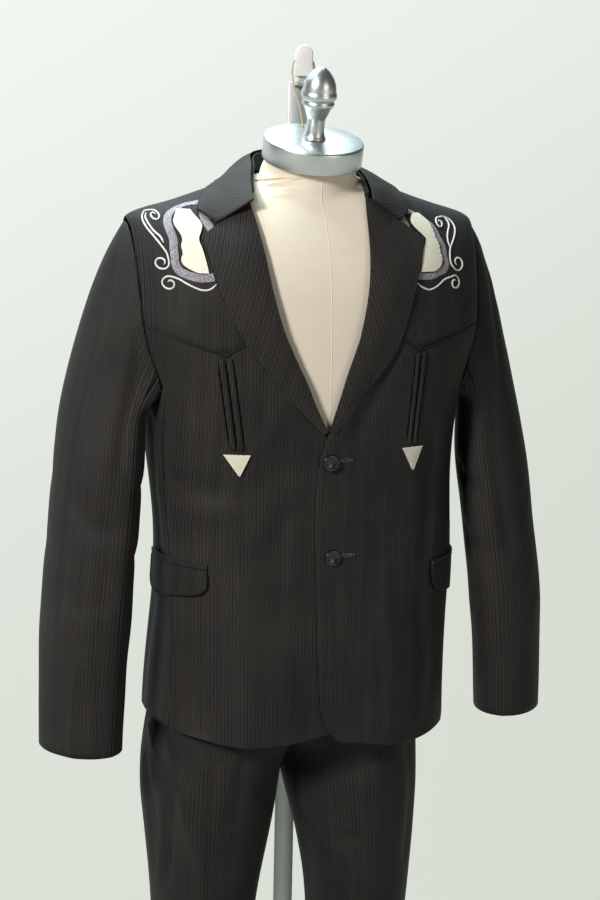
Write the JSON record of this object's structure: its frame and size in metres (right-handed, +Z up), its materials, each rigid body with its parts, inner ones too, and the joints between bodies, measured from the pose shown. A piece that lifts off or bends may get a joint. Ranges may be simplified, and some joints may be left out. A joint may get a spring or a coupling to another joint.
{
  "type": "western suit on a dress form",
  "caption": "Western suit, jacket and trousers of dark ribbed cloth with pointed yokes and cream shoulder ornament, on a limbless dress form with a steel stand.",
  "frame": {"origin": "on the floor below the middle of the suit, on the underside of the stand's base", "axes": "+Z up, the suit's front towards -Y, the wearer's left towards +X"},
  "size_m": [0.6755, 0.43, 1.7453],
  "materials": {
    "suiting": "matte, with fine self stripes",
    "cream_cloth": "matte",
    "button_black": "gloss",
    "form_canvas": "matte canvas",
    "steel": "brushed",
    "white_plastic": "smooth",
    "brass_wire": "satin"
  },
  "bodies": {
    "root": {"FrontRight": "suiting", "FrontLeft": "suiting", "YokeRight": "suiting", "YokeLeft": "suiting", "SidePanelRight": "suiting", "SidePanelLeft": "suiting", "BackRight": "suiting", "BackLeft": "suiting", "BackYoke": "suiting", "TopSleeveRight": "suiting", "TopSleeveLeft": "suiting", "UnderSleeveRight": "suiting", "UnderSleeveLeft": "suiting", "LapelRight": "suiting", "LapelLeft": "suiting", "CollarFall": "suiting", "CollarStand": "suiting", "PocketWeltRight": "suiting", "PocketWeltLeft": "suiting", "PocketFlapRight": "suiting", "PocketFlapLeft": "suiting", "ChestTuckRight1": "suiting", "ChestTuckRight2": "suiting", "ChestTuckLeft1": "suiting", "ChestTuckLeft2": "suiting", "TrouserFrontRight": "suiting", "TrouserFrontLeft": "suiting", "TrouserBackRight": "suiting", "TrouserBackLeft": "suiting", "WaistbandRight": "suiting", "WaistbandLeft": "suiting", "ArrowheadRight": "cream_cloth", "ArrowheadLeft": "cream_cloth", "ShoulderAppliqueRight": "cream_cloth", "ShoulderAppliqueLeft": "cream_cloth", "Button1": "button_black", "Button2": "button_black", "DressForm": "form_canvas", "NeckCap": "steel", "Knob": "steel", "StandUpright": "steel", "HookArm": "steel", "StandBase": "steel", "HookTip": "white_plastic", "HangingLoop": "brass_wire"}
  },
  "joints": []
}
